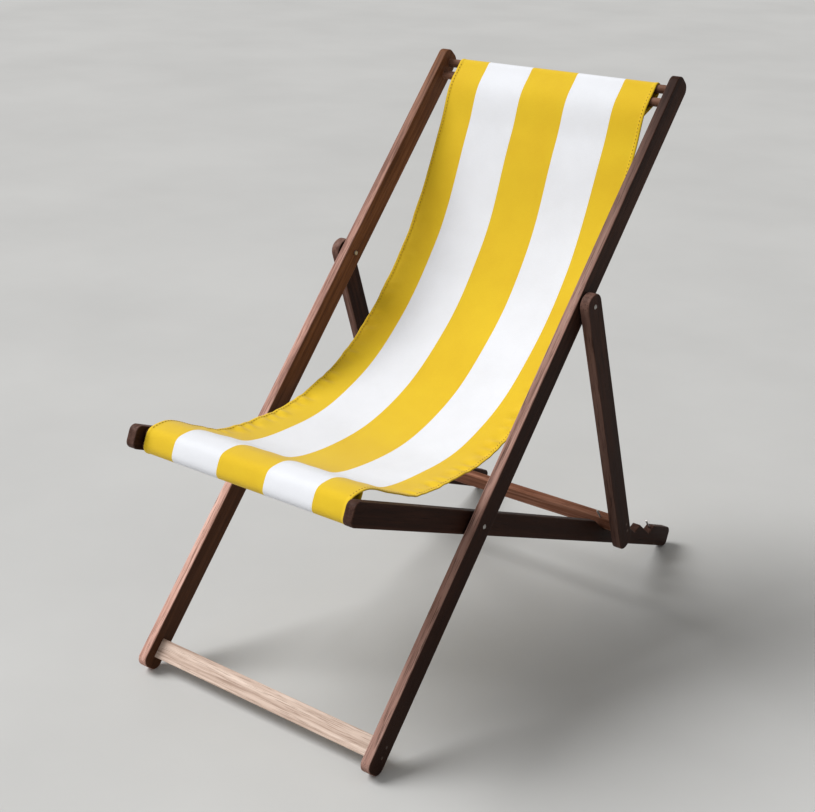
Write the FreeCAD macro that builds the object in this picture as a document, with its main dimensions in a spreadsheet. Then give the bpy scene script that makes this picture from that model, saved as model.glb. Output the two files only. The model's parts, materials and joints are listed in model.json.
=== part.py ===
import FreeCAD, Part
import math
import os

import Sketcher

# Folding beach chair with a striped canvas sling, in millimetres.
# +Z is up, the sitter faces -Y, X runs across the chair with the sitter's left at +X.
# The origin lies on the floor, on the centre line, under the middle of the footprint.

os.makedirs("parts", exist_ok=True)
doc = FreeCAD.newDocument("beach_chair")

DIMENSIONS = {
    # side view: where the two frames cross, and how each member slopes
    "cross_y": -209.7,
    "cross_z": 333.5,
    "back_slope": 47.7,
    "seat_slope": -23.4,
    "prop_slope": -71.35,
    # timber
    "rail_thick": 18.0,
    "back_deep": 44.0,
    "seat_deep": 41.0,
    "prop_deep": 44.0,
    "edge_round": 2.0,
    "back_end_round": 16.0,
    "seat_end_round": 12.0,
    "prop_end_round": 20.0,
    # lengths measured along each member from its pivot
    "back_below": 438.0,
    "back_above": 886.7,
    "seat_front": 341.7,
    "seat_rear": 798.7,
    "prop_above": 22.0,
    "prop_below": 560.0,
    "prop_pivot_at": 424.1,
    # across the chair
    "seat_inner": 223.0,
    "back_inner": 245.0,
    "prop_inner": 267.0,
    # foot board between the back rails
    "board_low_end": 416.5,
    "board_wide": 36.0,
    "board_thick": 14.0,
    "board_setback": 4.0,
    # dowels, glued into blind sockets
    "dowel_dia": 16.0,
    "socket_deep": 12.0,
    "top_upper_at": 866.1,
    "top_lower_at": 838.0,
    "top_setback": 5.0,
    "front_dowel_at": 311.7,
    "front_dowel_rise": 10.5,
    # crossbar of the prop frame
    "bar_along": 30.0,
    "bar_across": 18.0,
    "bar_centre_at": 519.3,
    "bar_offset": 9.5,
    "bar_round": 3.0,
    # notches in the top edge of the seat rails
    "notch_first": 443.0,
    "notch_ramp": 52.4,
    "notch_deep": 16.5,
    "notch_pitch": 68.0,
    "notch_count": 4,
    "notch_rear_angle": 42.05,
    # pivot hardware
    "bolt_dia": 5.0,
    "run_clear": 0.05,
    "head_dia": 8.5,
    "head_high": 2.0,
    "spacer_dia": 15.0,
    "spacer_thick": 3.6,
    "nut_across": 8.0,
    "crossing_nut_high": 5.0,
    "prop_nut_high": 2.8,
    "end_gap": 0.2,
    # small fixings
    "screw_dia": 4.0,
    "screw_long": 40.0,
    "bar_screw_spread": 16.0,
    "pin_dia": 2.4,
    "pin_long": 24.0,
    "peg_dia": 4.0,
    "peg_proud": 26.0,
    "peg_sunk": 12.0,
    "peg_lean": 29.0,
    "stop_peg_rise": 11.55,
    # canvas sling; the sag points are counted from the crossing
    "sling_wide": 433.0,
    "sling_thick": 1.6,
    "sling_gap": 0.4,
}

# how the canvas hangs, as (y, z) from the crossing: it falls steeply behind the back
# frame, then lies nearly level over the crossing and rises to the front roll
SAG = [
    (519, 534), (447, 384), (364, 260), (281, 179), (198, 122),
    (88, 83), (-17, 74), (-123, 87), (-201, 122), (-243, 141),
]

sheet = doc.addObject("Spreadsheet::Sheet", "dims")
for row, (alias, value) in enumerate(DIMENSIONS.items(), start=1):
    sheet.set(f"A{row}", alias)
    sheet.set(f"B{row}", str(value))
    sheet.setAlias(f"B{row}", alias)
doc.recompute()


def dim(alias):
    return float(sheet.get(alias))


X_AXIS = FreeCAD.Vector(1, 0, 0)
# turns a part drawn along X, with its depth along Y and its thickness along Z,
# into the side view: along Y, depth up Z, thickness across X
SIDE_VIEW = FreeCAD.Rotation(FreeCAD.Vector(1, 1, 1), 120)
exported = []


def side_point(start, slope, along, across=0.0):
    """The side-view point (y, z) at a distance along and across a sloping member."""
    angle = math.radians(slope)
    y = start[0] + along * math.cos(angle) - across * math.sin(angle)
    z = start[1] + along * math.sin(angle) + across * math.cos(angle)
    return y, z


def side_placement(x, point, slope):
    turn = FreeCAD.Rotation(X_AXIS, slope).multiply(SIDE_VIEW)
    return FreeCAD.Placement(FreeCAD.Vector(x, point[0], point[1]), turn)


CROSSING = (dim("cross_y"), dim("cross_z"))
PROP_PIVOT = side_point(CROSSING, dim("back_slope"), dim("prop_pivot_at"))
# which way each side lies along X
SIDES = {"right": -1, "left": 1}


def face_x(side, inner):
    """x where a member's thickness starts, counted towards +X."""
    if side > 0:
        return dim(inner)
    return -dim(inner) - dim("rail_thick")


def keep(part, label):
    part.Label = label
    exported.append(part)
    return part


# ---------------------------------------------------------------- wooden members

def new_body(name):
    return doc.addObject("PartDesign::Body", name)


def new_sketch(body, name):
    sketch = body.newObject("Sketcher::SketchObject", name)
    plane = next(item for item in body.Origin.OriginFeatures if item.Role == "XY_Plane")
    sketch.AttachmentSupport = (plane, [""])
    sketch.MapMode = "FlatFace"
    return sketch


def bind(sketch, constraint, expression):
    """Add a distance constraint and tie it to the sheet."""
    index = sketch.addConstraint(constraint)
    sketch.setExpression(f"Constraints[{index}]", expression)


def draw_rectangle(sketch, low, high, width_expr, low_expr, high_expr):
    """A rectangle from low to high along X, centred across Y."""
    half = 10.0
    corners = [(low, -half), (high, -half), (high, half), (low, half)]
    points = [FreeCAD.Vector(x, y, 0) for x, y in corners]
    for i in range(4):
        sketch.addGeometry(Part.LineSegment(points[i], points[(i + 1) % 4]), False)
    for i in range(4):
        sketch.addConstraint(Sketcher.Constraint("Coincident", i, 2, (i + 1) % 4, 1))
    for i in (0, 2):
        sketch.addConstraint(Sketcher.Constraint("Horizontal", i))
    sketch.addConstraint(Sketcher.Constraint("Vertical", 1))
    sketch.addConstraint(Sketcher.Constraint("Symmetric", 0, 1, 2, 2, -1))
    bind(sketch, Sketcher.Constraint("DistanceY", 1, 1, 1, 2, 2 * half), width_expr)
    bind(sketch, Sketcher.Constraint("DistanceX", 3, 2, -1, 1, -low), low_expr)
    bind(sketch, Sketcher.Constraint("DistanceX", -1, 1, 1, 1, high), high_expr)


def add_pad(body, sketch, name, length_expr):
    pad = body.newObject("PartDesign::Pad", name)
    pad.Profile = sketch
    pad.setExpression("Length", length_expr)
    sketch.Visibility = False
    doc.recompute()
    return pad


def add_pocket(body, sketch, name):
    pocket = body.newObject("PartDesign::Pocket", name)
    pocket.Profile = sketch
    pocket.Type = "ThroughAll"
    pocket.Midplane = True
    doc.recompute()
    return pocket


def corner_edges(feature, reach):
    """Edges along the thickness, at the outer corners of a member."""
    names = []
    for i, edge in enumerate(feature.Shape.Edges, start=1):
        first, last = edge.Vertexes[0].Point, edge.Vertexes[-1].Point
        along_thickness = abs(first.x - last.x) < 1e-6 and abs(first.y - last.y) < 1e-6
        at_end = min(abs(first.x - end) for end in reach) < 1e-3
        if along_thickness and at_end:
            names.append(f"Edge{i}")
    return names


def face_edges(feature, thickness):
    """Edges that lie in either broad face of a member, bolt holes left out."""
    names = []
    for i, edge in enumerate(feature.Shape.Edges, start=1):
        box = edge.BoundBox
        flat = box.ZLength < 1e-6
        on_face = min(abs(box.ZMin), abs(box.ZMin - thickness)) < 1e-6
        closed_ring = len(edge.Vertexes) == 1
        if flat and on_face and not closed_ring:
            names.append(f"Edge{i}")
    return names


def add_fillet(body, base, edges, name, radius_expr):
    fillet = body.newObject("PartDesign::Fillet", name)
    fillet.Base = (base, edges)
    fillet.setExpression("Radius", radius_expr)
    doc.recompute()
    return fillet


def drill(body, name, holes):
    """Round holes through the thickness: (along, across, radius expression)."""
    sketch = new_sketch(body, name + "_sketch")
    for along, across, radius_expr in holes:
        centre = FreeCAD.Vector(along, across, 0)
        start_radius = 2.0
        circle = sketch.addGeometry(Part.Circle(centre, FreeCAD.Vector(0, 0, 1), start_radius), False)
        bind(sketch, Sketcher.Constraint("Radius", circle, start_radius), radius_expr)
    sketch.Visibility = False
    return add_pocket(body, sketch, name)


def sockets(body, name, side, places):
    """Blind holes for the dowels, sunk into the member's inner face."""
    sketch = new_sketch(body, name + "_sketch")
    if side < 0:
        sketch.AttachmentOffset = FreeCAD.Placement(FreeCAD.Vector(0, 0, dim("rail_thick")),
                                                    FreeCAD.Rotation())
    radius = dim("dowel_dia") / 2
    for along, across in places:
        centre = FreeCAD.Vector(along, across, 0)
        circle = sketch.addGeometry(Part.Circle(centre, FreeCAD.Vector(0, 0, 1), radius), False)
        bind(sketch, Sketcher.Constraint("Radius", circle, radius), "dims.dowel_dia / 2")
    sketch.Visibility = False
    pocket = body.newObject("PartDesign::Pocket", name)
    pocket.Profile = sketch
    pocket.setExpression("Length", "dims.socket_deep")
    pocket.Reversed = side > 0
    doc.recompute()
    wanted = math.pi * radius ** 2 * dim("socket_deep") * len(places)
    removed = pocket.BaseFeature.Shape.Volume - pocket.Shape.Volume
    tolerance = 1.0
    if abs(removed - wanted) > tolerance:
        raise RuntimeError(f"{name} cut the wrong volume")


def member(name, low, high, depth, end_round, holes, carve=None):
    """A flat rail with rounded ends, drilled and softened along its edges."""
    body = new_body(name)
    sketch = new_sketch(body, name + "_outline")
    reach = (-dim(low), dim(high))
    draw_rectangle(sketch, reach[0], reach[1], f"dims.{depth}", f"dims.{low}", f"dims.{high}")
    feature = add_pad(body, sketch, name + "_pad", "dims.rail_thick")
    ends = corner_edges(feature, reach)
    feature = add_fillet(body, feature, ends, name + "_ends", f"dims.{end_round}")
    if carve:
        feature = carve(body)
    feature = add_fillet(body, feature, face_edges(feature, dim("rail_thick")),
                         name + "_soft", "dims.edge_round")
    drill(body, name + "_holes", holes)
    doc.recompute()
    return body


def make_back_rail(side_name, side):
    holes = [
        (0.0, 0.0, "dims.bolt_dia / 2"),
        (dim("prop_pivot_at"), 0.0, "dims.bolt_dia / 2"),
    ]
    for along in board_screw_stations():
        holes.append((along, board_middle(), "dims.screw_dia / 2"))
    rail = member(f"back_rail_{side_name}", "back_below", "back_above", "back_deep",
                  "back_end_round", holes)
    sockets(rail, f"back_rail_{side_name}_sockets", side,
            [(dim(f"top_{place}_at"), -dim("top_setback")) for place in ("upper", "lower")])
    rail.Placement = side_placement(face_x(side, "back_inner"), CROSSING, dim("back_slope"))
    return keep(rail, f"back_rail_{side_name}")


def carve_notches(body):
    """Sawtooth notches: a long ramp and a steep wall square to the prop legs."""
    top = dim("seat_deep") / 2
    deep = dim("notch_deep")
    overshoot = 4.0
    start = dim("notch_first")
    bottom = start + dim("notch_ramp")
    ramp_slope = deep / dim("notch_ramp")
    wall_run = 1 / math.tan(math.radians(dim("notch_rear_angle")))
    outline = [
        (start - overshoot / ramp_slope, top + overshoot),
        (bottom, top - deep),
        (bottom + (deep + overshoot) * wall_run, top + overshoot),
    ]
    points = [FreeCAD.Vector(x, y, 0) for x, y in outline]
    sketch = new_sketch(body, body.Name + "_notch")
    for i in range(3):
        sketch.addGeometry(Part.LineSegment(points[i], points[(i + 1) % 3]), False)
    for i in range(3):
        sketch.addConstraint(Sketcher.Constraint("Coincident", i, 2, (i + 1) % 3, 1))
    sketch.addConstraint(Sketcher.Constraint("Horizontal", 2))
    bind(sketch, Sketcher.Constraint("DistanceX", -1, 1, 0, 2, bottom),
         "dims.notch_first + dims.notch_ramp")
    bind(sketch, Sketcher.Constraint("DistanceY", -1, 1, 0, 2, top - deep),
         "dims.seat_deep / 2 - dims.notch_deep")
    sketch.Visibility = False
    pocket = add_pocket(body, sketch, body.Name + "_notch_cut")
    row = body.newObject("PartDesign::LinearPattern", body.Name + "_notch_row")
    row.Originals = [pocket]
    row.Direction = (sketch, ["H_Axis"])
    row.setExpression("Length", "dims.notch_pitch * (dims.notch_count - 1)")
    row.Occurrences = int(dim("notch_count"))
    body.Tip = row
    doc.recompute()
    return row


def make_seat_rail(side_name, side):
    holes = [(0.0, 0.0, "dims.bolt_dia / 2 + dims.run_clear")]
    rail = member(f"seat_rail_{side_name}", "seat_front", "seat_rear", "seat_deep",
                  "seat_end_round", holes, carve_notches)
    sockets(rail, f"seat_rail_{side_name}_sockets", side,
            [(-dim("front_dowel_at"), way * dim("front_dowel_rise")) for way in (1, -1)])
    rail.Placement = side_placement(face_x(side, "seat_inner"), CROSSING, dim("seat_slope"))
    return keep(rail, f"seat_rail_{side_name}")


def bar_screw_stations():
    middle, half = dim("bar_centre_at"), dim("bar_screw_spread") / 2
    return middle - half, middle + half


def make_prop_leg(side_name, side):
    holes = [(0.0, 0.0, "dims.bolt_dia / 2 + dims.run_clear")]
    for along in bar_screw_stations():
        holes.append((along, dim("bar_offset"), "dims.screw_dia / 2"))
    leg = member(f"prop_leg_{side_name}", "prop_above", "prop_below", "prop_deep",
                 "prop_end_round", holes)
    leg.Placement = side_placement(face_x(side, "prop_inner"), PROP_PIVOT, dim("prop_slope"))
    return keep(leg, f"prop_leg_{side_name}")


def crosspiece(name, along, across, length_expr, round_expr):
    """A bar across the chair with its four long edges rounded, centred on its axis."""
    body = new_body(name)
    sketch = new_sketch(body, name + "_section")
    half_along = f"dims.{along} / 2"
    draw_rectangle(sketch, -dim(along) / 2, dim(along) / 2, f"dims.{across}", half_along, half_along)
    pad = add_pad(body, sketch, name + "_pad", length_expr)
    pad.Midplane = True
    doc.recompute()
    edges = corner_edges(pad, (-dim(along) / 2, dim(along) / 2))
    add_fillet(body, pad, edges, name + "_soft", round_expr)
    doc.recompute()
    return body


def board_middle():
    """Distance of the foot board's middle in front of the back rails' centre line."""
    return -dim("board_setback")


def board_screw_stations():
    low = -dim("board_low_end")
    quarter = dim("board_wide") / 4
    return low + quarter, low + 3 * quarter


def make_foot_board():
    board = crosspiece("foot_board", "board_wide", "board_thick", "2 * dims.back_inner",
                       "dims.edge_round")
    centre = side_point(CROSSING, dim("back_slope"), -dim("board_low_end") + dim("board_wide") / 2,
                        board_middle())
    board.Placement = side_placement(0, centre, dim("back_slope"))
    return keep(board, "foot_board")


def bar_place(along_extra=0.0, across_extra=0.0):
    return side_point(PROP_PIVOT, dim("prop_slope"), dim("bar_centre_at") + along_extra,
                      dim("bar_offset") + across_extra)


def make_crossbar():
    bar = crosspiece("prop_crossbar", "bar_along", "bar_across", "2 * dims.prop_inner",
                     "dims.bar_round")
    bar.Placement = side_placement(0, bar_place(), dim("prop_slope"))
    return keep(bar, "prop_crossbar")


def cylinder_across(name, x_start, point, radius_expr, height_expr=None):
    """A cylinder along X that starts at x_start."""
    rod = doc.addObject("Part::Cylinder", name)
    rod.setExpression("Radius", radius_expr)
    if height_expr:
        rod.setExpression("Height", height_expr)
    rod.Placement = side_placement(x_start, point, 0)
    return rod


def make_dowel(label, start, slope, along, across, inner):
    point = side_point(start, slope, along, across)
    x_start = -dim(inner) - dim("socket_deep")
    rod = cylinder_across(label, x_start, point, "dims.dowel_dia / 2",
                          f"2 * (dims.{inner} + dims.socket_deep)")
    return keep(rod, label)


# ---------------------------------------------------------------- hardware

def group(label, parts):
    """Several separate solids of one kind, kept as one node."""
    cluster = doc.addObject("Part::Compound", label)
    cluster.Links = parts
    for part in parts:
        part.Visibility = False
    return keep(cluster, label)


def mirror_x(side, x_near, length):
    """Start of a length that begins x_near from the centre line and runs outwards."""
    if side > 0:
        return x_near
    return -x_near - length


def domed_bolt(name, side, point, x_tip, x_seat):
    """Shank from x_tip out to x_seat, with a low domed head outside x_seat."""
    length = x_seat - x_tip
    shank = cylinder_across(name + "_shank", mirror_x(side, x_tip, length), point,
                            "dims.bolt_dia / 2")
    shank.Height = length
    dome = doc.addObject("Part::Sphere", name + "_dome")
    radius = (dim("head_dia") ** 2 / 4 + dim("head_high") ** 2) / (2 * dim("head_high"))
    dome.Radius = radius
    dome.Placement = side_placement(side * (x_seat + dim("head_high") - radius), point, 0)
    trim = cylinder_across(name + "_trim", mirror_x(side, x_seat, dim("head_high")), point,
                           "dims.head_dia / 2", "dims.head_high")
    head = doc.addObject("Part::Common", name + "_head")
    head.Base = dome
    head.Tool = trim
    bolt = doc.addObject("Part::Fuse", name)
    bolt.Base = shank
    bolt.Tool = head
    doc.recompute()
    return bolt


def ring(name, x_start, point, outer_expr, inner_expr, height_expr):
    outer = cylinder_across(name + "_outer", x_start, point, outer_expr, height_expr)
    inner = cylinder_across(name + "_inner", x_start, point, inner_expr, height_expr)
    washer = doc.addObject("Part::Cut", name)
    washer.Base = outer
    washer.Tool = inner
    doc.recompute()
    return washer


def hex_nut(name, x_start, point, height_expr):
    blank = doc.addObject("Part::Prism", name + "_blank")
    blank.Polygon = 6
    blank.setExpression("Circumradius", "dims.nut_across / sqrt(3)")
    blank.setExpression("Height", height_expr)
    blank.Placement = side_placement(x_start, point, 0)
    bore = cylinder_across(name + "_bore", x_start, point, "dims.bolt_dia / 2", height_expr)
    nut = doc.addObject("Part::Cut", name)
    nut.Base = blank
    nut.Tool = bore
    doc.recompute()
    return nut


def make_pivot(label, point, inner_face, outer_face, spacer_face):
    """Bolt, spacer and nut on both sides, for one of the two pivot lines."""
    bolts, spacers, nuts = [], [], []
    gap = dim("end_gap")
    nut_high = dim(f"{label}_nut_high")
    nut_start = inner_face - gap - nut_high
    for side_name, side in SIDES.items():
        bolts.append(domed_bolt(f"{label}_bolt_{side_name}", side, point,
                                nut_start, outer_face))
        spacers.append(ring(f"{label}_spacer_{side_name}",
                            mirror_x(side, spacer_face + gap, dim("spacer_thick")), point,
                            "dims.spacer_dia / 2", "dims.bolt_dia / 2", "dims.spacer_thick"))
        nuts.append(hex_nut(f"{label}_nut_{side_name}",
                            mirror_x(side, nut_start, nut_high), point,
                            f"dims.{label}_nut_high"))
    group(f"{label}_bolts", bolts)
    group(f"{label}_spacers", spacers)
    group(f"{label}_nuts", nuts)


def rod_between(name, start, direction, radius_expr, length_expr):
    """A round rod from a point along a direction."""
    rod = doc.addObject("Part::Cylinder", name)
    rod.setExpression("Radius", radius_expr)
    rod.setExpression("Height", length_expr)
    turn = FreeCAD.Rotation(FreeCAD.Vector(0, 0, 1), direction)
    rod.Placement = FreeCAD.Placement(start, turn)
    return rod


def make_screws(label, points, inner):
    """Headless screws through a pair of members into the ends of a crosspiece."""
    screws = []
    outer = dim(inner) + dim("rail_thick")
    for side_name, side in SIDES.items():
        for number, point in enumerate(points):
            x_start = mirror_x(side, outer - dim("screw_long"), dim("screw_long"))
            screws.append(cylinder_across(f"{label}_{side_name}_{number}", x_start, point,
                                          "dims.screw_dia / 2", "dims.screw_long"))
    return group(label, screws)


def make_dowel_pins(label, start, slope, stations, inner, edge):
    """Headless pins driven from a rail's edge through each dowel end."""
    pins = []
    inward = side_point((0, 0), slope, 0, -math.copysign(1, edge))
    direction = FreeCAD.Vector(0, inward[0], inward[1])
    for side_name, side in SIDES.items():
        x = side * (dim(inner) + dim("socket_deep") / 2)
        for number, along in enumerate(stations):
            point = side_point(start, slope, along, edge)
            base = FreeCAD.Vector(x, point[0], point[1])
            pins.append(rod_between(f"{label}_{side_name}_{number}", base, direction,
                                    "dims.pin_dia / 2", "dims.pin_long"))
    return group(label, pins)


def peg_direction():
    """Pegs lean forward over the notches, at a low angle to the seat rail."""
    forward = side_point((0, 0), dim("seat_slope"), -math.cos(math.radians(dim("peg_lean"))),
                         math.sin(math.radians(dim("peg_lean"))))
    return FreeCAD.Vector(0, forward[0], forward[1])


def make_pegs(label, point, x_middle):
    """One steel peg on each side; its lower part is driven into the wood."""
    direction = peg_direction()
    pegs = []
    for side_name, side in SIDES.items():
        surface = FreeCAD.Vector(side * x_middle, point[0], point[1])
        base = surface - direction * dim("peg_sunk")
        pegs.append(rod_between(f"{label}_{side_name}", base, direction,
                                "dims.peg_dia / 2", "dims.peg_proud + dims.peg_sunk"))
    return group(label, pegs)


def make_stop_pegs():
    """Pegs at the rear wall of the last notch, where the crossbar can go no further."""
    last = dim("notch_first") + dim("notch_ramp") + dim("notch_pitch") * (dim("notch_count") - 1)
    rise = dim("stop_peg_rise")
    along = last + rise / math.tan(math.radians(dim("notch_rear_angle")))
    point = side_point(CROSSING, dim("seat_slope"), along,
                       dim("seat_deep") / 2 - dim("notch_deep") + rise)
    return make_pegs("stop_pegs", point, dim("seat_inner") + dim("rail_thick") / 2)


def make_crossbar_pegs():
    """Pegs in the top front arris of the crossbar, over each seat rail."""
    point = bar_place(-dim("bar_along") / 2 + dim("bar_round"), -dim("bar_across") / 2
                      + dim("bar_round"))
    return make_pegs("crossbar_pegs", point, dim("seat_inner") + dim("rail_thick") / 2)


# ---------------------------------------------------------------- canvas sling

def extruded(outline, wide):
    """A side-view outline, drawn across the chair."""
    corners = [FreeCAD.Vector(-wide / 2, y, z) for y, z in outline]
    face = Part.Face(Part.makePolygon(corners + corners[:1]))
    return face.extrude(FreeCAD.Vector(wide, 0, 0))


def stadium(centre_a, centre_b, radius):
    """Outline of a belt drawn tight round two equal dowels."""
    heading = math.degrees(math.atan2(centre_b[1] - centre_a[1], centre_b[0] - centre_a[0]))
    return (arc_points(centre_b, radius, heading - 90, heading + 90)
            + arc_points(centre_a, radius, heading + 90, heading + 270))


def arc_points(centre, radius, first, last, steps=12):
    points = []
    for i in range(steps + 1):
        angle = math.radians(first + (last - first) * i / steps)
        points.append((centre[0] + radius * math.cos(angle),
                       centre[1] + radius * math.sin(angle)))
    return points


def seat_curve(clear):
    """Middle of the sagging canvas in side view, from the top loop to the front loop."""
    top = side_point(CROSSING, dim("back_slope"), dim("top_lower_at"), -dim("top_setback") + clear)
    front = side_point(CROSSING, dim("seat_slope"), -dim("front_dowel_at"),
                       dim("front_dowel_rise") + clear)
    through = [(CROSSING[0] + y, CROSSING[1] + z) for y, z in SAG]
    curve = Part.BSplineCurve()
    curve.interpolate([FreeCAD.Vector(0, y, z) for y, z in [top, *through, front]])
    return curve


def band_along(curve, thick, wide, steps=60):
    """A thin band of even thickness that follows a side-view curve."""
    upper, lower = [], []
    for i in range(steps + 1):
        at = curve.FirstParameter + (curve.LastParameter - curve.FirstParameter) * i / steps
        point = curve.value(at)
        along = curve.tangent(at)[0]
        normal = FreeCAD.Vector(0, -along.z, along.y)
        upper.append(point + normal * thick / 2)
        lower.append(point - normal * thick / 2)
    return extruded([(point.y, point.z) for point in upper + lower[::-1]], wide)


def make_sling():
    """One canvas: a closed loop round each pair of dowels and the sagging seat between."""
    wide, thick = dim("sling_wide"), dim("sling_thick")
    radius = dim("dowel_dia") / 2 + dim("sling_gap")
    top_pair = [side_point(CROSSING, dim("back_slope"), dim(at), -dim("top_setback"))
                for at in ("top_lower_at", "top_upper_at")]
    front_pair = [side_point(CROSSING, dim("seat_slope"), -dim("front_dowel_at"), rise)
                  for rise in (-dim("front_dowel_rise"), dim("front_dowel_rise"))]
    span = band_along(seat_curve(radius + thick / 2), thick, wide)
    loops = []
    for pair in (top_pair, front_pair):
        hollow = extruded(stadium(*pair, radius), wide)
        loops.append(extruded(stadium(*pair, radius + thick), wide).cut(hollow))
        span = span.cut(hollow)
    sling = doc.addObject("Part::Feature", "sling")
    sling.Shape = span.fuse(loops).removeSplitter()
    return keep(sling, "sling")


# ---------------------------------------------------------------- assembly

for name, direction in SIDES.items():
    make_back_rail(name, direction)
    make_seat_rail(name, direction)
    make_prop_leg(name, direction)
make_foot_board()
make_crossbar()

for station in ("upper", "lower"):
    make_dowel(f"top_dowel_{station}", CROSSING, dim("back_slope"), dim(f"top_{station}_at"),
               -dim("top_setback"), "back_inner")
make_dowel("front_dowel_upper", CROSSING, dim("seat_slope"), -dim("front_dowel_at"),
           dim("front_dowel_rise"), "seat_inner")
make_dowel("front_dowel_lower", CROSSING, dim("seat_slope"), -dim("front_dowel_at"),
           -dim("front_dowel_rise"), "seat_inner")

make_pivot("crossing", CROSSING, dim("seat_inner"), dim("back_inner") + dim("rail_thick"),
           dim("seat_inner") + dim("rail_thick"))
make_pivot("prop", PROP_PIVOT, dim("back_inner"),
           dim("prop_inner") + dim("rail_thick") + dim("end_gap"),
           dim("back_inner") + dim("rail_thick"))
make_screws("board_screws", [side_point(CROSSING, dim("back_slope"), along, board_middle())
                             for along in board_screw_stations()], "back_inner")
make_screws("crossbar_screws", [side_point(PROP_PIVOT, dim("prop_slope"), along, dim("bar_offset"))
                                for along in bar_screw_stations()], "prop_inner")
make_dowel_pins("top_dowel_pins", CROSSING, dim("back_slope"),
                (dim("top_lower_at"), dim("top_upper_at")), "back_inner", -dim("back_deep") / 2)
make_dowel_pins("front_dowel_pins", CROSSING, dim("seat_slope"), (-dim("front_dowel_at"),),
                "seat_inner", -dim("seat_deep") / 2)
make_stop_pegs()
make_crossbar_pegs()
make_sling()
doc.recompute()

for item in doc.Objects:
    if "Invalid" in item.State or "Error" in item.State:
        raise RuntimeError(f"{item.Label} is in state {item.State}")
for part in exported:
    if part.Shape.isNull() or not part.Shape.isValid():
        raise RuntimeError(f"{part.Label} has no valid shape")
    part.Shape.exportStep(f"parts/{part.Label}.step")
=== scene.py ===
"""Folding beach chair with a striped canvas sling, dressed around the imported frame. Metres throughout."""

import json
import math
import random

import bmesh
import bpy
from mathutils import Matrix, Vector


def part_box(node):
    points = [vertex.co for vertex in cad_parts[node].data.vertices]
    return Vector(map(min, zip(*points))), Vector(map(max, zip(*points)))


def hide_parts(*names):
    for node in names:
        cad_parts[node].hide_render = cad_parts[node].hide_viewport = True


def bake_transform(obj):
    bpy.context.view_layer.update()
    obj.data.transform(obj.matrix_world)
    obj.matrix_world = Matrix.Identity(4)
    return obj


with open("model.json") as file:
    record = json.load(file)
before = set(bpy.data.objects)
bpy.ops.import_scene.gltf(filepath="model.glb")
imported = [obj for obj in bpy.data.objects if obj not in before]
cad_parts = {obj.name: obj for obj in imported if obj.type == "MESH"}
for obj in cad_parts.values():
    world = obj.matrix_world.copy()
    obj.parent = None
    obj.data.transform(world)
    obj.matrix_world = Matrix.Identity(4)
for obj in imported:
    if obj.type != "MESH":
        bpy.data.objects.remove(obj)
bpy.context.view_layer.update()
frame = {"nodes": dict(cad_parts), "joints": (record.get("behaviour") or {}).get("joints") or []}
joints = {joint["name"]: joint for joint in frame["joints"]}
crossing = Vector(joints["seat_hinge"]["pos_m"])
rng = random.Random(7)

# slopes of the three frames in side view, in degrees
BACK_SLOPE = 47.7
SEAT_SLOPE = -23.4
PROP_SLOPE = -71.35

# the camera, placed from the crossing
CAMERA_PLACE = Vector((1.4552, -1.7903, 1.0756))
CAMERA_FORWARD = Vector((-0.55988, 0.74008, -0.37258))
CAMERA_RIGHT = Vector((0.79490, 0.60665, 0.01050))
LENS = 64.0
SENSOR = 36

# canvas: half its width, its thickness, and its folded hems
SLING_HALF = 0.2165
CANVAS = 0.0013
HEM_WIDE = 0.0075
HEM_THICK = 0.0030
# how far inside a hem's inner side its stitches run
STITCH_INSET = 0.0016
# gap between the canvas and the dowels, at the top and at the front
WRAP = 0.0012
FRONT_WRAP = 0.0042
ROW_STEP = 0.004
# distances from the centre line where yellow turns white, and white turns yellow
STRIPE_EDGES = (0.05, 0.15)

# how the canvas hangs, as (y, z) from the crossing, top to front
SAG = [
    (0.5446, 0.6038),
    (0.5189, 0.5362),
    (0.4463, 0.3884),
    (0.3614, 0.2657),
    (0.2779, 0.1843),
    (0.1967, 0.1274),
    (0.0879, 0.0876),
    (-0.0168, 0.0795),
    (-0.1235, 0.0898),
    (-0.1697, 0.1090),
    (-0.2004, 0.1232),
    (-0.2260, 0.1375),
    (-0.2480, 0.1462),
    (-0.2650, 0.1478),
]
# how far the middle hangs below the hems, and how one side rides above the other, along the span
CUP = 0.011
CUP_HIGH = 0.005
SKEW = 0.0012


def node_centre(name):
    low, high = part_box(name)
    return (Vector(low) + Vector(high)) / 2


def node_radius(name):
    low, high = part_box(name)
    return (high[2] - low[2]) / 2


# ---------------------------------------------------------------- camera

def make_camera():
    data = bpy.data.cameras.new("camera")
    data.sensor_width = SENSOR
    data.lens = LENS
    camera = bpy.data.objects.new("camera", data)
    bpy.context.collection.objects.link(camera)
    up = CAMERA_RIGHT.cross(CAMERA_FORWARD)
    turn = Matrix((CAMERA_RIGHT, up, -CAMERA_FORWARD)).transposed().to_4x4()
    turn.translation = crossing + CAMERA_PLACE
    camera.matrix_world = turn
    bpy.context.scene.camera = camera


make_camera()


# ---------------------------------------------------------------- materials

# timber stains, each from the dark of the grain to the light; two of them are painted light, not stain
DARK = [(0.011, 0.0040, 0.0024), (0.029, 0.0112, 0.0068), (0.060, 0.0245, 0.0150)]
# painted light: a lighter copy of the dark stain for the right back rail, for light bounced off the canvas
BOUNCE_LIT_DARK = [(0.055, 0.021, 0.010), (0.140, 0.056, 0.026), (0.220, 0.093, 0.045)]
# painted light: the colours the lit narrow faces are paled to
LIT_EDGE_COLOURS = [(0.200, 0.096, 0.075), (0.490, 0.275, 0.220), (0.680, 0.430, 0.360)]
WARM = [(0.060, 0.028, 0.018), (0.150, 0.072, 0.047), (0.270, 0.145, 0.100)]
PALE = [(0.255, 0.170, 0.128), (0.530, 0.405, 0.335), (0.730, 0.600, 0.515)]
BAR = [(0.100, 0.038, 0.020), (0.235, 0.095, 0.056), (0.400, 0.200, 0.135)]

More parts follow.
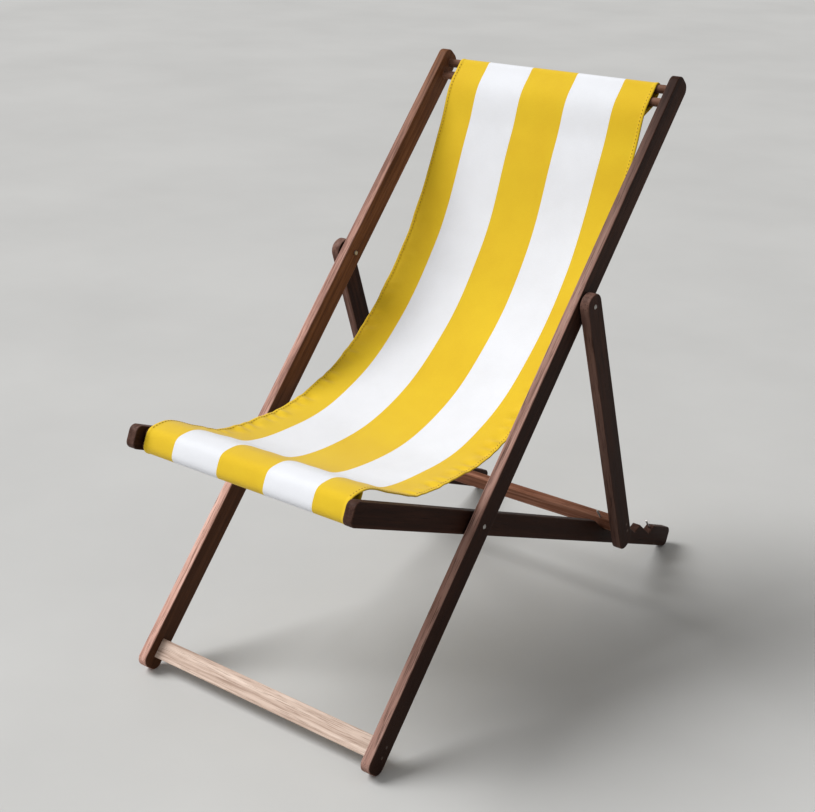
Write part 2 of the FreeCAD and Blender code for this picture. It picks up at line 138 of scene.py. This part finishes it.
YELLOW = (0.715, 0.490, 0.011)
YELLOW_DEEP = (0.650, 0.415, 0.007)
WHITE = (0.745, 0.760, 0.800)
WHITE_DEEP = (0.680, 0.692, 0.725)
# painted shade: the colours the gaps between the threads are darkened towards
GAP_SHADE = (0.42, 0.23, 0.008)
GAP_SHADE_WHITE = (0.52, 0.53, 0.56)

# where on the grain's noise the three colours of a stain sit
GRAIN_STOPS = (0.34, 0.5, 0.66)
# heights in metres: painted light pales the narrow faces downwards from the first, painted shade darkens
# the broad ones from the second
EDGE_LIGHT_FROM = 0.98
EDGE_LIGHT_OVER = 0.34
# painted shade: where the darkening towards the feet starts, how deep it runs, and how strong it is
SHADE_FROM = 0.62
SHADE_OVER = 0.35
SHADE_SHARE = 0.6
PORE_SHARE = 0.7
WORN_SHARE = 0.6
WORN_RADIUS = 0.0022
WOOD_SPECULAR = 0.06
WEAVE_PITCH = 0.0011


class Nodes:
    """Short calls for building one node material."""

    def __init__(self, name):
        self.material = bpy.data.materials.new(name)
        self.material.use_nodes = True
        self.tree = self.material.node_tree
        self.shader = self.tree.nodes["Principled BSDF"]

    def add(self, kind, **values):
        node = self.tree.nodes.new(kind)
        for key, value in values.items():
            setattr(node, key, value)
        return node

    def link(self, source, target):
        self.tree.links.new(source, target)

    def coordinates(self, output, scale, turn_x=0.0):
        source = self.add("ShaderNodeTexCoord")
        turned = self.add("ShaderNodeMapping")
        turned.inputs["Rotation"].default_value = (math.radians(-turn_x), 0, 0)
        self.link(source.outputs[output], turned.inputs["Vector"])
        scaled = self.add("ShaderNodeMapping")
        scaled.inputs["Scale"].default_value = scale
        self.link(turned.outputs["Vector"], scaled.inputs["Vector"])
        return scaled.outputs["Vector"]

    def noise(self, vector, scale=1.0, detail=4.0, distortion=0.0, roughness=0.55):
        node = self.add("ShaderNodeTexNoise")
        node.inputs["Scale"].default_value = scale
        node.inputs["Detail"].default_value = detail
        node.inputs["Distortion"].default_value = distortion
        node.inputs["Roughness"].default_value = roughness
        self.link(vector, node.inputs["Vector"])
        return node.outputs["Fac"]

    def math(self, operation, first, second=None, clamp=False):
        node = self.add("ShaderNodeMath", operation=operation, use_clamp=clamp)
        for socket, value in zip(node.inputs, (first, second)):
            if value is None:
                continue
            if isinstance(value, (int, float)):
                socket.default_value = value
            else:
                self.link(value, socket)
        return node.outputs["Value"]

    def ramp(self, factor, stops):
        node = self.add("ShaderNodeValToRGB")
        while len(node.color_ramp.elements) < len(stops):
            node.color_ramp.elements.new(0.5)
        for element, (place, colour) in zip(node.color_ramp.elements, stops):
            element.position = place
            element.color = (*colour, 1)
        self.link(factor, node.inputs["Fac"])
        return node.outputs["Color"]

    def mix(self, factor, first, second, blend="MIX"):
        node = self.add("ShaderNodeMix", data_type="RGBA", blend_type=blend)
        for socket, value in ((node.inputs["Factor"], factor), (node.inputs["A"], first),
                              (node.inputs["B"], second)):
            if isinstance(value, (int, float)):
                socket.default_value = value
            elif isinstance(value, tuple):
                socket.default_value = (*value, 1)
            else:
                self.link(value, socket)
        return next(out for out in node.outputs if out.type == "RGBA")

    def bump(self, height, strength, distance):
        node = self.add("ShaderNodeBump")
        node.inputs["Strength"].default_value = strength
        node.inputs["Distance"].default_value = distance
        self.link(height, node.inputs["Height"])
        self.link(node.outputs["Normal"], self.shader.inputs["Normal"])

    def set(self, **values):
        for key, value in values.items():
            socket = self.shader.inputs[key.replace("_", " ")]
            if hasattr(value, "links") or hasattr(value, "is_linked"):
                self.link(value, socket)
            else:
                socket.default_value = value


def wood(name, slope, colours, across=False, rough=(0.42, 0.62), worn=(0.34, 0.19, 0.14), painted_light=0.0):
    """Straight-grained timber: slope turns the grain along a member, across lays it along X.

    The last argument paints light on the narrow faces, paler than the broad ones, more and more below the
    top of the chair; painted shade darkens the broad ones towards the feet.
    """
    make = Nodes(name)
    stretch = (5, 150, 150) if across else (150, 5, 150)
    fine_stretch = (22, 900, 900) if across else (900, 22, 900)
    broad_stretch = (1.6, 26, 26) if across else (26, 1.6, 26)
    streaks = make.noise(make.coordinates("Object", stretch, slope), detail=5, distortion=0.25)
    pores = make.noise(make.coordinates("Object", fine_stretch, slope), detail=3)
    broad = make.noise(make.coordinates("Object", broad_stretch, slope), detail=3, distortion=1.2)
    tone = make.math("ADD", make.math("MULTIPLY", streaks, 0.55), make.math("MULTIPLY", broad, 0.45))
    colour = make.ramp(tone, list(zip(GRAIN_STOPS, colours)))
    if painted_light:
        # painted light: narrow faces paled more and more below the top of the chair
        below_top = downwards(make, EDGE_LIGHT_FROM, EDGE_LIGHT_OVER)
        painted_edge_light = make.math("MULTIPLY", make.math("MULTIPLY", narrow_faces(make), painted_light), below_top)
        lit_edges = make.ramp(tone, list(zip(GRAIN_STOPS, LIT_EDGE_COLOURS)))
        # painted shade: faces darkened towards the feet, under the sling
        low_shade = downwards(make, SHADE_FROM, SHADE_OVER)
        colour = make.mix(make.math("MULTIPLY", low_shade, SHADE_SHARE), colour, DARK[1])
        colour = make.mix(painted_edge_light, colour, lit_edges)
    pore_mask = make.ramp(pores, [(0.36, (0, 0, 0)), (0.46, (1, 1, 1))])
    in_pores = make.math("MULTIPLY", make.math("SUBTRACT", 1.0, pore_mask), PORE_SHARE)
    colour = make.mix(in_pores, colour, colours[0])
    colour = make.mix(make.math("MULTIPLY", worn_edges(make), WORN_SHARE), colour, worn)
    low, high = rough
    gloss = make.math("ADD", make.math("MULTIPLY", streaks, high - low), low)
    make.set(Base_Color=colour, Roughness=gloss)
    make.shader.inputs["Specular IOR Level"].default_value = WOOD_SPECULAR
    make.bump(make.math("ADD", make.math("MULTIPLY", streaks, 0.5), pore_mask), 0.35, 0.0004)
    return make.material


def downwards(make, start, depth):
    """0 at the height start and above, rising to 1 at depth below it."""
    source = make.add("ShaderNodeTexCoord")
    split = make.add("ShaderNodeSeparateXYZ")
    make.link(source.outputs["Object"], split.inputs["Vector"])
    return make.math("DIVIDE", make.math("SUBTRACT", start, split.outputs["Z"]), depth, clamp=True)


def narrow_faces(make):
    """1 on faces that run across the chair, 0 on the broad faces at a member's sides."""
    geometry = make.add("ShaderNodeNewGeometry")
    split = make.add("ShaderNodeSeparateXYZ")
    make.link(geometry.outputs["True Normal"], split.inputs["Vector"])
    sideways = make.math("ABSOLUTE", split.outputs["X"])
    return make.math("SUBTRACT", 1.0, make.math("POWER", sideways, 3.0), clamp=True)


def worn_edges(make):
    """1 where an arris is rubbed, 0 on a flat face, broken up by noise."""
    bevel = make.add("ShaderNodeBevel", samples=6)
    bevel.inputs["Radius"].default_value = WORN_RADIUS
    geometry = make.add("ShaderNodeNewGeometry")
    dot = make.add("ShaderNodeVectorMath", operation="DOT_PRODUCT")
    make.link(bevel.outputs["Normal"], dot.inputs[0])
    make.link(geometry.outputs["Normal"], dot.inputs[1])
    bend = make.math("MULTIPLY", make.math("SUBTRACT", 1.0, dot.outputs["Value"]), 9.0, clamp=True)
    patches = make.noise(make.coordinates("Object", (40, 40, 40)), detail=3)
    return make.math("MULTIPLY", bend, make.math("MULTIPLY", patches, 1.4, clamp=True))


def metal(name, colour, rough):
    make = Nodes(name)
    scratches = make.noise(make.coordinates("Object", (700, 700, 700)), detail=3)
    dull = make.noise(make.coordinates("Object", (120, 120, 120)), detail=2)
    make.set(Base_Color=make.mix(make.math("MULTIPLY", dull, 0.5), colour, (0.28, 0.26, 0.23)),
             Roughness=make.math("ADD", make.math("MULTIPLY", scratches, 0.25), rough))
    make.shader.inputs["Metallic"].default_value = 1.0
    make.bump(scratches, 0.1, 0.0002)
    return make.material


def canvas():
    """Plain-weave canvas; its stripes and threads follow the cloth's own flat map in metres."""
    make = Nodes("canvas")
    source = make.add("ShaderNodeUVMap", uv_map="flat")
    split = make.add("ShaderNodeSeparateXYZ")
    make.link(source.outputs["UV"], split.inputs["Vector"])
    across = make.math("ABSOLUTE", split.outputs["X"])
    inner, outer = STRIPE_EDGES
    past_inner = make.math("GREATER_THAN", across, inner)
    past_outer = make.math("GREATER_THAN", across, outer)
    white = make.math("SUBTRACT", past_inner, past_outer)
    mottle = make.noise(make.coordinates("Object", (9, 9, 9)), detail=5)
    slubs = make.noise(scaled_uv(make, source, (90, 1600)), detail=2)
    shade = make.math("ADD", make.math("MULTIPLY", mottle, 0.7), make.math("MULTIPLY", slubs, 0.3))
    yellow = make.ramp(shade, [(0.3, YELLOW_DEEP), (0.62, YELLOW)])
    pale = make.ramp(shade, [(0.3, WHITE_DEEP), (0.62, WHITE)])
    colour = make.mix(white, yellow, pale)
    warp = weave_ridge(make, split.outputs["X"], WEAVE_PITCH)
    weft = weave_ridge(make, split.outputs["Y"], WEAVE_PITCH)
    weave = make.math("MAXIMUM", warp, weft)
    # painted shade between the threads of the weave
    gap_shade = make.math("MULTIPLY", make.math("SUBTRACT", 1.0, weave), 0.35)
    colour = make.mix(gap_shade, colour, make.mix(white, GAP_SHADE, GAP_SHADE_WHITE))
    make.set(Base_Color=colour, Roughness=0.86)
    make.shader.inputs["Sheen Weight"].default_value = 0.18
    make.shader.inputs["Sheen Roughness"].default_value = 0.45
    make.shader.inputs["Specular IOR Level"].default_value = 0.25
    make.bump(make.math("ADD", weave, make.math("MULTIPLY", slubs, 0.8)), 0.45, 0.0003)
    return make.material


def scaled_uv(make, source, scale):
    node = make.add("ShaderNodeMapping")
    node.inputs["Scale"].default_value = (*scale, 1)
    make.link(source.outputs["UV"], node.inputs["Vector"])
    return node.outputs["Vector"]


def weave_ridge(make, coordinate, pitch):
    """A rounded thread every pitch metres along one direction."""
    wave = make.math("SINE", make.math("MULTIPLY", coordinate, 2 * math.pi / pitch))
    return make.math("ADD", make.math("MULTIPLY", wave, 0.5), 0.5)


def thread(name, colour):
    make = Nodes(name)
    twist = make.noise(make.coordinates("Object", (900, 900, 900)), detail=2)
    deeper = tuple(0.7 * part for part in colour)
    make.set(Base_Color=make.mix(twist, deeper, colour), Roughness=0.7)
    make.bump(twist, 0.3, 0.0002)
    return make.material


def dress(names, material):
    for name in names:
        node = frame["nodes"][name]
        node.data.materials.clear()
        node.data.materials.append(material)


def dress_frame():
    # the last number is how much painted light each member's narrow faces take
    members = (("back_rail", BACK_SLOPE, 1.0), ("seat_rail", SEAT_SLOPE, 0.12),
               ("prop_leg", PROP_SLOPE, 0.35))
    # painted light: stronger on the right-hand rails' narrow faces than on the left-hand ones
    for side, share in (("left", 0.55), ("right", 1.0)):
        for part, slope, painted_light in members:
            name = f"{part}_{side}"
            # painted light: the right back rail takes the lighter copy of the dark stain
            colours = BOUNCE_LIT_DARK if name == "back_rail_right" else DARK
            dress([name], wood(f"wood_{name}", slope, colours, painted_light=painted_light * share))
    dress(["foot_board"], wood("wood_board", BACK_SLOPE, PALE, across=True, worn=(0.62, 0.48, 0.41)))
    dress(["prop_crossbar"], wood("wood_bar", PROP_SLOPE, BAR, across=True, worn=(0.5, 0.33, 0.25)))
    dowels = [f"{end}_dowel_{place}" for end in ("top", "front") for place in ("upper", "lower")]
    dress(dowels, wood("wood_dowel", 0, WARM, across=True))
    zinc = metal("zinc", (0.42, 0.41, 0.39), 0.34)
    dress([f"{pivot}_{part}" for pivot in ("crossing", "prop") for part in ("bolts", "nuts")], zinc)
    dress([f"{pivot}_spacers" for pivot in ("crossing", "prop")], metal("washer", (0.5, 0.49, 0.47), 0.38))
    pins = metal("pin_steel", (0.55, 0.55, 0.55), 0.3)
    dress(["top_dowel_pins", "front_dowel_pins", "stop_pegs", "crossbar_pegs"], pins)
    dress(["board_screws", "crossbar_screws"], metal("black_screw", (0.035, 0.03, 0.028), 0.5))


dress_frame()


# ---------------------------------------------------------------- canvas sling

# degrees between the points of an arc
ARC_STEP = 9
# the span leaves the top round this far past square, and meets the front one at this angle
LEAVE_PAST = 6
ARRIVE = 90.0
# passes that soften the span, and the roll from a few points before it
SPAN_PASSES = 5
ROLL_PASSES = 4
ROLL_LEAD = 6
# each loop is sewn to the span this many points in from the span's end, just below it, this way
TOP_SEAM_POINT = 14
TOP_SEAM_WAY = -30
FRONT_SEAM_POINT = 6
FRONT_SEAM_WAY = -100
SEAM_DROP = CANVAS * 1.3
# insets of the mesh columns in and beside a hem, and the number of columns from there to the middle
HEM_COLUMNS = (0.0, 0.0006, 0.0018, 0.004, 0.0062, HEM_WIDE, 0.0087, 0.011, 0.014, 0.018, 0.022, 0.027,
               0.033)
FIELD_COLUMNS = 32
# waves in the cloth, as (length, weight)
PUCKER_WAVES = ((0.052, 0.4), (0.029, 0.5), (0.021, 0.35))
SWAY_WAVES = ((0.16, 0.6), (0.083, 0.4))
BROAD_WAVES = ((0.34, 0.6), (0.21, 0.4))
# the puckers beside a hem: their height, the inset of their crest, and how wide they fade
PUCKER_HIGH = 0.0030
PUCKER_INSET = 0.017
PUCKER_WIDE = 0.012
EDGE_FADE = 0.011
SWAY_HIGH = 0.0009
SWAY_FADE = 0.05
BROAD_HIGH = 0.0009
# how far the edge wavers sideways, and how far it is drawn in at mid span
EDGE_WAVER = 0.0011
WAIST = 0.0015


def polar(centre, radius, degrees):
    angle = math.radians(degrees)
    return Vector((centre.y + radius * math.cos(angle), centre.z + radius * math.sin(angle)))


def arc(centre, radius, first, last):
    """Side-view points on a round, going up in angle."""
    steps = max(2, int(abs(last - first) / ARC_STEP))
    return [polar(centre, radius, first + (last - first) * i / steps) for i in range(steps + 1)]


def touch_angle(centre, radius, point, side):
    """Angle of the spot where a straight line from point meets the round."""
    away = point - Vector((centre.y, centre.z))
    heading = math.degrees(math.atan2(away.y, away.x))
    return heading + side * math.degrees(math.acos(min(1.0, radius / away.length)))


def hermite(points, first_slope, last_slope, step=ROW_STEP):
    """Smooth curve through points; slopes at the two ends are unit directions."""
    slopes = [first_slope]
    for i in range(1, len(points) - 1):
        slopes.append((points[i + 1] - points[i - 1]) / ((points[i + 1] - points[i]).length
                                                        + (points[i] - points[i - 1]).length))
    slopes.append(last_slope)
    out = []
    for i in range(len(points) - 1):
        start, end = points[i], points[i + 1]
        span = (end - start).length
        count = max(2, int(span / step))
        for k in range(count):
            t = k / count
            out.append(start * (2 * t**3 - 3 * t**2 + 1) + slopes[i] * span * (t**3 - 2 * t**2 + t)
                       + end * (3 * t**2 - 2 * t**3) + slopes[i + 1] * span * (t**3 - t**2))
    return out + [points[-1]]


def soften(points, passes):
    """Average out the bends of a path, its ends held."""
    for _ in range(passes):
        points = ([points[0]] + [(points[i - 1] + 2 * points[i] + points[i + 1]) / 4
                                 for i in range(1, len(points) - 1)] + [points[-1]])
    return points


def resample(points, step):
    lengths = [0.0]
    for a, b in zip(points, points[1:]):
        lengths.append(lengths[-1] + (b - a).length)
    count = round(lengths[-1] / step)
    out, i = [], 0
    for k in range(count + 1):
        want = lengths[-1] * k / count
        while i < len(points) - 2 and lengths[i + 1] < want:
            i += 1
        share = (want - lengths[i]) / max(lengths[i + 1] - lengths[i], 1e-9)
        out.append(points[i].lerp(points[i + 1], min(1.0, share)))
    return out, lengths[-1] / count


def heading(degrees):
    return Vector((math.cos(math.radians(degrees)), math.sin(math.radians(degrees))))


def sling_path():
    """The canvas in side view, from its seam behind the top dowels to its seam under the front."""
    top_low, top_high = node_centre("top_dowel_lower"), node_centre("top_dowel_upper")
    front_low, front_high = node_centre("front_dowel_lower"), node_centre("front_dowel_upper")
    radius = node_radius("top_dowel_lower") + WRAP + CANVAS / 2
    back_side, front_side = BACK_SLOPE - 90, BACK_SLOPE + 90
    front_radius = node_radius("front_dowel_upper") + FRONT_WRAP + CANVAS / 2
    leave = front_side + LEAVE_PAST
    nose_side = SEAT_SLOPE + 180
    through = [polar(top_high, radius, leave)]
    through += [Vector((crossing.y + y, crossing.z + z)) for y, z in SAG]
    through += [polar(front_high, front_radius, ARRIVE)]
    span = soften(hermite(through, heading(leave + 90), heading(ARRIVE + 90)), SPAN_PASSES)
    top_seam = span[TOP_SEAM_POINT] + heading(TOP_SEAM_WAY) * SEAM_DROP
    front_seam = span[-FRONT_SEAM_POINT] + heading(FRONT_SEAM_WAY) * SEAM_DROP
    start = touch_angle(top_low, radius, top_seam, 1)
    end = touch_angle(front_low, front_radius, front_seam, -1)
    while start > back_side:
        start -= 360
    while end < nose_side:
        end += 360
    path = [top_seam]
    if start < back_side - 5:
        path += arc(top_low, radius, start, back_side)
    path += arc(top_high, radius, back_side, leave)
    before = len(path)
    path += span[1:]
    path += arc(front_high, front_radius, ARRIVE, nose_side)[1:]
    path += arc(front_low, front_radius, nose_side, end)
    path += [front_seam]
    marks = (path[before], span[-1])
    roll = path.index(span[-1]) - ROLL_LEAD
    even, _ = resample(path[roll:], ROW_STEP)
    path = path[:roll] + soften(even, ROLL_PASSES)
    return path, marks


def column_places():
    """Distances from the centre line: close together in the hems, wider in the field."""
    half = [SLING_HALF - inset for inset in HEM_COLUMNS]
    half += [half[-1] * (FIELD_COLUMNS - 1 - i) / FIELD_COLUMNS for i in range(FIELD_COLUMNS)]
    right = [-place for place in half if place > 1e-6]
    return right + [0.0] + [-place for place in reversed(right)]


def thickness_at(x):
    """Hem is a double fold with a soft outer edge and a stitched furrow at its inner side."""
    inset = SLING_HALF - abs(x)
    if inset >= HEM_WIDE + 0.0012:
        return CANVAS
    if inset >= HEM_WIDE:
        return CANVAS * 1.2
    rounded = min(1.0, inset / 0.0018)
    furrow = 0.8 if inset > HEM_WIDE - STITCH_INSET else 1.0
    return HEM_THICK * (0.35 + 0.65 * math.sqrt(rounded)) * furrow


def ripple(phases, place):
    """An uneven wave made of a few sines, between about -1 and 1."""
    return sum(math.sin(2 * math.pi * place / length + phase) * weight
               for length, phase, weight in phases)


def make_phases(waves):
    return [(length, rng.uniform(0, 2 * math.pi), weight) for length, weight in waves]


def smooth_step(low, high, value):
    t = min(1.0, max(0.0, (value - low) / (high - low)))
    return t * t * (3 - 2 * t)


def nearest_row(rows, mark):
    return min(range(len(rows)), key=lambda i: (rows[i] - mark).length)


def sling_grid():
    """The canvas as rows of (middle, outward, thickness, x, along), and where its open span lies."""
    path, marks = sling_path()
    rows, step = resample(path, ROW_STEP)
    first, last = (nearest_row(rows, mark) for mark in marks)
    columns = column_places()
    pucker = {side: make_phases(PUCKER_WAVES) for side in (-1, 1)}
    sway = {side: make_phases(SWAY_WAVES) for side in (-1, 1)}
    broad = make_phases(BROAD_WAVES)
    grid = []
    for i, point in enumerate(rows):
        along = i * step
        share = min(1.0, max(0.0, (i - first) / (last - first)))
        span = smooth_step(0.12, 0.3, share) * smooth_step(0.06, 0.18, 1 - share)
        lower = 0.25 + 0.75 * smooth_step(0.3, 0.55, share)
        high = smooth_step(0.05, 0.25, share) * smooth_step(0.3, 0.6, 1 - share)
        ahead = rows[min(i + 1, len(rows) - 1)] - rows[max(i - 1, 0)]
        ahead.normalize()
        outward = Vector((0, ahead.y, -ahead.x))
        line = []
        for x in columns:
            side = 1 if x > 0 else -1
            inset = SLING_HALF - abs(x)
            near_edge = math.exp(-inset / EDGE_FADE)
            puckered = math.exp(-((inset - PUCKER_INSET) / PUCKER_WIDE) ** 2) + 0.1 * near_edge
            lift = PUCKER_HIGH * lower * puckered * span * ripple(pucker[side], along)
            lift += SWAY_HIGH * math.exp(-inset / SWAY_FADE) * span * ripple(sway[side], along)
            lift -= (CUP + CUP_HIGH * high) * span * (1 - (x / SLING_HALF) ** 2)
            lift += SKEW * span * math.cos(1.6 * math.pi * share) * x / SLING_HALF
            lift += BROAD_HIGH * span * ripple(broad, along + 0.6 * x)
            draw = EDGE_WAVER * near_edge * span * ripple(sway[side], along + 0.03)
            draw += WAIST * span * math.sin(math.pi * share) * abs(x) / SLING_HALF
            middle = Vector((x - side * draw, point.x, point.y)) + outward * lift
            line.append((middle, outward, thickness_at(x), x, along))
        grid.append(line)
    return grid, step, first, last


def finish_piece(name, mesh, material):
    """Turn a bmesh into a named object with one material."""
    data = bpy.data.meshes.new(name)
    mesh.to_mesh(data)
    mesh.free()
    data.materials.append(material)
    piece = bpy.data.objects.new(name, data)
    bpy.context.collection.objects.link(piece)
    return piece


def make_sling(grid):
    """A closed sheet with an upper and an under side; its flat map holds metres across and along."""
    mesh = bmesh.new()
    layer = mesh.loops.layers.uv.new("flat")
    flat = {}
    upper, under = [], []
    for line in grid:
        sides = ([], [])
        for middle, outward, thick, x, along in line:
            for row, way in zip(sides, (1, -1)):
                vert = mesh.verts.new(middle + outward * thick / 2 * way)
                flat[vert] = (x, along)
                row.append(vert)
        upper.append(sides[0])
        under.append(sides[1])
    count = len(grid[0])
    for i in range(len(grid) - 1):
        for k in range(count - 1):
            mesh.faces.new((upper[i][k], upper[i + 1][k], upper[i + 1][k + 1], upper[i][k + 1]))
            mesh.faces.new((under[i][k], under[i][k + 1], under[i + 1][k + 1], under[i + 1][k]))
        for k in (0, count - 1):
            mesh.faces.new((upper[i][k], under[i][k], under[i + 1][k], upper[i + 1][k]))
    for i in (0, len(grid) - 1):
        for k in range(count - 1):
            mesh.faces.new((upper[i][k], upper[i][k + 1], under[i][k + 1], under[i][k]))
    bmesh.ops.recalc_face_normals(mesh, faces=mesh.faces)
    for face in mesh.faces:
        face.smooth = True
        for loop in face.loops:
            loop[layer].uv = flat[loop.vert]
    return finish_piece("canvas_sling", mesh, canvas())


grid, row_step, span_first, span_last = sling_grid()
sling = make_sling(grid)

STITCH_PITCH = 0.0066
STITCH_LONG = 0.0032
STITCH_SIDES = 6
# one stitch: (share of its length, share of its radius, how far it stands out in radii)
STITCH_RINGS = ((0.0, 0.35, 0.2), (0.25, 0.95, 0.75), (0.75, 0.95, 0.75), (1.0, 0.35, 0.2))
THREAD = 0.00055
SEAM_INSET = 0.006
# where a row across the canvas starts and stops, in from its two sides
SEAM_START = 0.004
SEAM_STOP = 0.006


def stitch_chain(name, spots, radius, material):
    """Short stitches, one for each of the spots: (start, end, outward)."""
    mesh = bmesh.new()
    for start, end, outward in spots:
        way = (end - start).normalized()
        across = way.cross(outward).normalized()
        rings = []
        for share, swell, rise in STITCH_RINGS:
            centre = start.lerp(end, share) + outward * radius * rise
            ring = []
            for k in range(STITCH_SIDES):
                turn = 2 * math.pi * k / STITCH_SIDES
                ring.append(mesh.verts.new(centre + (across * math.cos(turn) + outward * math.sin(turn))
                                           * radius * swell))
            rings.append(ring)
        for near, far in zip(rings, rings[1:]):
            for k in range(STITCH_SIDES):
                after = (k + 1) % STITCH_SIDES
                mesh.faces.new((near[k], near[after], far[after], far[k]))
        mesh.faces.new(rings[0][::-1])
        mesh.faces.new(rings[-1])
    bmesh.ops.recalc_face_normals(mesh, faces=mesh.faces)
    for face in mesh.faces:
        face.smooth = True
    return finish_piece(name, mesh, material)


def surface_spot(along, x):
    """A point on the sitter's side of the canvas, and the way out of it there."""
    place = along / row_step
    i = min(len(grid) - 2, max(0, int(place)))
    line = grid[i]
    k = min(range(len(line)), key=lambda n: abs(line[n][3] - x))
    middle, outward, thick = line[k][:3]
    onward = grid[i + 1][k][0]
    shift = Vector((x - line[k][3], 0, 0))
    return middle.lerp(onward, place - i) + shift + outward * thick / 2, outward


def hem_stitches():
    """A row of stitches along each hem, over the open span."""
    spots = []
    inset = HEM_WIDE - STITCH_INSET
    start, end = span_first * row_step, span_last * row_step
    for side in (-1, 1):
        x = side * (SLING_HALF - inset)
        along = start
        while along < end:
            a, outward = surface_spot(along, x)
            b, _ = surface_spot(along + STITCH_LONG, x)
            spots.append((a, b, outward))
            along += STITCH_PITCH
    return spots


def seam_stitches(along):
    """A row of stitches across the canvas, where a loop is sewn shut."""
    spots = []
    x = -SLING_HALF + SEAM_START
    while x < SLING_HALF - SEAM_STOP:
        a, outward = surface_spot(along, x)
        b, _ = surface_spot(along, x + STITCH_LONG)
        spots.append((a, b, outward))
        x += STITCH_PITCH
    return spots


gold_thread = thread("gold_thread", (0.34, 0.155, 0.015))
flat_length = (len(grid) - 1) * row_step
stitches = hem_stitches() + seam_stitches(SEAM_INSET) + seam_stitches(flat_length - SEAM_INSET)
stitching = stitch_chain("stitching", stitches, THREAD, gold_thread)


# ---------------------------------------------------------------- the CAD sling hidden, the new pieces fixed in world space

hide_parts("sling")
for piece in (sling, stitching):
    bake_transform(piece)


# ---------------------------------------------------------------- stage and light

FLOOR_WIDE = 160
FLOOR_COLOUR = (0.49, 0.49, 0.482)
WORLD_COLOUR = (0.81, 0.80, 0.785)
WORLD_STRENGTH = 0.48


def plain(name, colour, rough):
    make = Nodes(name)
    clouds = make.noise(make.coordinates("Object", (1.3, 1.3, 1.3)), detail=6)
    darker = tuple(0.93 * part for part in colour)
    make.set(Base_Color=make.ramp(clouds, [(0.35, darker), (0.65, colour)]), Roughness=rough)
    return make.material


def make_floor():
    bpy.ops.mesh.primitive_plane_add(size=FLOOR_WIDE, location=(0, 0, 0))
    floor = bpy.context.object
    floor.name = "floor"
    floor.data.materials.append(plain("pale_floor", FLOOR_COLOUR, 0.6))


def area_light(name, place, size, power, target=(0, 0, 0.45)):
    data = bpy.data.lights.new(name, "AREA")
    data.shape = "DISK"
    data.size = size
    data.energy = power
    light = bpy.data.objects.new(name, data)
    bpy.context.collection.objects.link(light)
    light.location = place
    light.rotation_euler = (Vector(target) - Vector(place)).to_track_quat("-Z", "Y").to_euler()


def window_light(source, spread, strength):
    """Broad daylight from one side, even over the whole floor."""
    data = bpy.data.lights.new("window", "SUN")
    data.energy = strength
    data.angle = math.radians(spread)
    light = bpy.data.objects.new("window", data)
    bpy.context.collection.objects.link(light)
    light.rotation_euler = (-Vector(source)).to_track_quat("-Z", "Y").to_euler()


def make_world():
    world = bpy.data.worlds.new("studio")
    world.use_nodes = True
    background = world.node_tree.nodes["Background"]
    background.inputs["Color"].default_value = (*WORLD_COLOUR, 1)
    background.inputs["Strength"].default_value = WORLD_STRENGTH
    bpy.context.scene.world = world


make_floor()
make_world()
window_light(source=(-4.4, -1.8, 5.0), spread=36, strength=3.6)
area_light("fill", place=(-0.8, -3.4, 1.8), size=2.5, power=20)
bpy.context.scene.view_settings.view_transform = "Standard"
